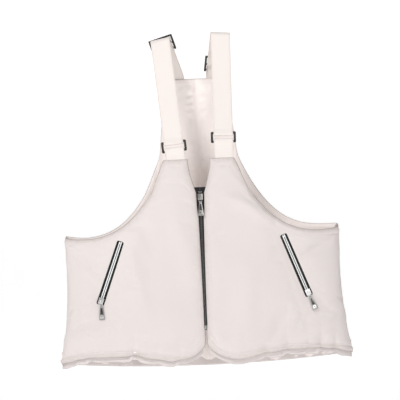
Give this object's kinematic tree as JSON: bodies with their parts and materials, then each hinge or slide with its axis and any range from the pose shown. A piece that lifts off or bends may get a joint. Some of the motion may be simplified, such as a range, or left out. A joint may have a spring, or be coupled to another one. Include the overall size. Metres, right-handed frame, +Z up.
{
  "type": "padded vest with adjustable shoulder straps",
  "caption": "Cropped padded vest in pale cloth with a front zip, slanted zip pockets and webbing shoulder straps held by rings and tri-glides.",
  "frame": {"origin": "midway between the two strap folds, at the height where the straps rest on a shoulder or a hanger", "axes": "+Z up, -Y out of the front, +X to the wearer's left"},
  "size_m": [0.5726, 0.1096, 0.6537],
  "materials": {
    "outer_cloth": "matte plain-woven polyester",
    "wadding": "soft polyester wadding",
    "lining": "smooth thin lining",
    "webbing": "ribbed flat webbing",
    "strap_hardware": "black acetal, lightly glossy",
    "zip_tape": "black woven tape",
    "black_chain": "black nylon coil",
    "black_metal": "black enamel on zinc",
    "silver_metal": "bright nickel"
  },
  "bodies": {
    "vest": {"back_hem_facing": "outer_cloth", "back_lining": "lining", "back_shell": "outer_cloth", "back_wadding": "wadding", "front_hem_facing_left": "outer_cloth", "front_hem_facing_right": "outer_cloth", "front_lining_left": "lining", "front_lining_right": "lining", "front_shell_left": "outer_cloth", "front_shell_right": "outer_cloth", "front_wadding_left": "wadding", "front_wadding_right": "wadding", "front_zip_coil_left": "black_chain", "front_zip_coil_right": "black_chain", "front_zip_insertion_pin": "black_metal", "front_zip_retainer_box": "black_metal", "front_zip_tape_left": "zip_tape", "front_zip_tape_right": "zip_tape", "front_zip_top_stop_left": "black_metal", "front_zip_top_stop_right": "black_metal", "pocket_bag_left": "lining", "pocket_bag_right": "lining", "pocket_zip_left_bottom_stop": "silver_metal", "pocket_zip_left_coil_left": "silver_metal", "pocket_zip_left_coil_right": "silver_metal", "pocket_zip_left_tape_left": "zip_tape", "pocket_zip_left_tape_right": "zip_tape", "pocket_zip_left_top_stop": "silver_metal", "pocket_zip_right_bottom_stop": "silver_metal", "pocket_zip_right_coil_left": "silver_metal", "pocket_zip_right_coil_right": "silver_metal", "pocket_zip_right_tape_left": "zip_tape", "pocket_zip_right_tape_right": "zip_tape", "pocket_zip_right_top_stop": "silver_metal", "strap_left": "webbing", "strap_right": "webbing", "strap_tab_left": "webbing", "strap_tab_right": "webbing"},
    "front_zip_slider_body": {"front_zip_slider": "black_metal"},
    "front_zip_link_body": {"front_zip_link": "black_metal"},
    "front_zip_pull_body": {"front_zip_pull": "black_metal"},
    "pocket_zip_right_slider_body": {"pocket_zip_right_slider": "silver_metal"},
    "pocket_zip_right_link_body": {"pocket_zip_right_link": "silver_metal"},
    "pocket_zip_right_pull_body": {"pocket_zip_right_pull": "silver_metal"},
    "pocket_zip_left_slider_body": {"pocket_zip_left_slider": "silver_metal"},
    "pocket_zip_left_link_body": {"pocket_zip_left_link": "silver_metal"},
    "pocket_zip_left_pull_body": {"pocket_zip_left_pull": "silver_metal"},
    "strap_ring_right_body": {"strap_ring_right": "strap_hardware"},
    "tri_glide_right_body": {"tri_glide_right": "strap_hardware", "strap_end_right": "webbing"},
    "strap_ring_left_body": {"strap_ring_left": "strap_hardware"},
    "tri_glide_left_body": {"tri_glide_left": "strap_hardware", "strap_end_left": "webbing"}
  },
  "joints": [
    {"name": "front_zip_slide", "type": "slide", "parent": "vest", "child": "front_zip_slider_body", "axis": [0, 0, -1], "range_m": [0, 0.242]},
    {"name": "front_zip_link_hinge", "type": "hinge", "parent": "front_zip_slider_body", "child": "front_zip_link_body", "pos_m": [0, -0.0578, -0.3123], "axis": [-1, 0, 0], "range_deg": [0, 110]},
    {"name": "front_zip_pull_hinge", "type": "hinge", "parent": "front_zip_link_body", "child": "front_zip_pull_body", "pos_m": [0, -0.0578, -0.3217], "axis": [-1, 0, 0], "range_deg": [0, 60]},
    {"name": "pocket_zip_right_slide", "type": "slide", "parent": "vest", "child": "pocket_zip_right_slider_body", "axis": [0.3555, -0.0504, 0.9333], "range_m": [0, 0.108]},
    {"name": "pocket_zip_right_link_hinge", "type": "hinge", "parent": "pocket_zip_right_slider_body", "child": "pocket_zip_right_link_body", "pos_m": [-0.20211, -0.04507, -0.50672], "axis": [-0.988, 0.1508, -0.0327], "range_deg": [0, 110]},
    {"name": "pocket_zip_right_pull_hinge", "type": "hinge", "parent": "pocket_zip_right_link_body", "child": "pocket_zip_right_pull_body", "pos_m": [-0.20181, -0.04515, -0.51612], "axis": [-0.988, 0.1508, -0.0327], "range_deg": [0, 60]},
    {"name": "pocket_zip_left_slide", "type": "slide", "parent": "vest", "child": "pocket_zip_left_slider_body", "axis": [-0.3555, -0.0504, 0.9333], "range_m": [0, 0.108]},
    {"name": "pocket_zip_left_link_hinge", "type": "hinge", "parent": "pocket_zip_left_slider_body", "child": "pocket_zip_left_link_body", "pos_m": [0.20211, -0.04507, -0.50672], "axis": [-0.9224, -0.1424, -0.3591], "range_deg": [0, 110]},
    {"name": "pocket_zip_left_pull_hinge", "type": "hinge", "parent": "pocket_zip_left_link_body", "child": "pocket_zip_left_pull_body", "pos_m": [0.20545, -0.04459, -0.5155], "axis": [-0.9224, -0.1424, -0.3591], "range_deg": [0, 60]},
    {"name": "tri_glide_right_slide", "type": "slide", "parent": "vest", "child": "tri_glide_right_body", "axis": [0.276, 0.3886, -0.8791], "range_m": [0, 0.044]},
    {"name": "strap_ring_right_swing", "type": "hinge", "parent": "vest", "child": "strap_ring_right_body", "pos_m": [-0.04757, -0.04685, -0.20364], "axis": [0.9959, -0.0121, 0.0892], "range_deg": [-3, 3]},
    {"name": "tri_glide_left_slide", "type": "slide", "parent": "vest", "child": "tri_glide_left_body", "axis": [-0.1331, 0.3676, -0.9204], "range_m": [0, 0.0065]},
    {"name": "strap_ring_left_swing", "type": "hinge", "parent": "vest", "child": "strap_ring_left_body", "pos_m": [0.05018, -0.04539, -0.18961], "axis": [0.9999, 0.007, -0.015], "range_deg": [-3, 3]}
  ]
}
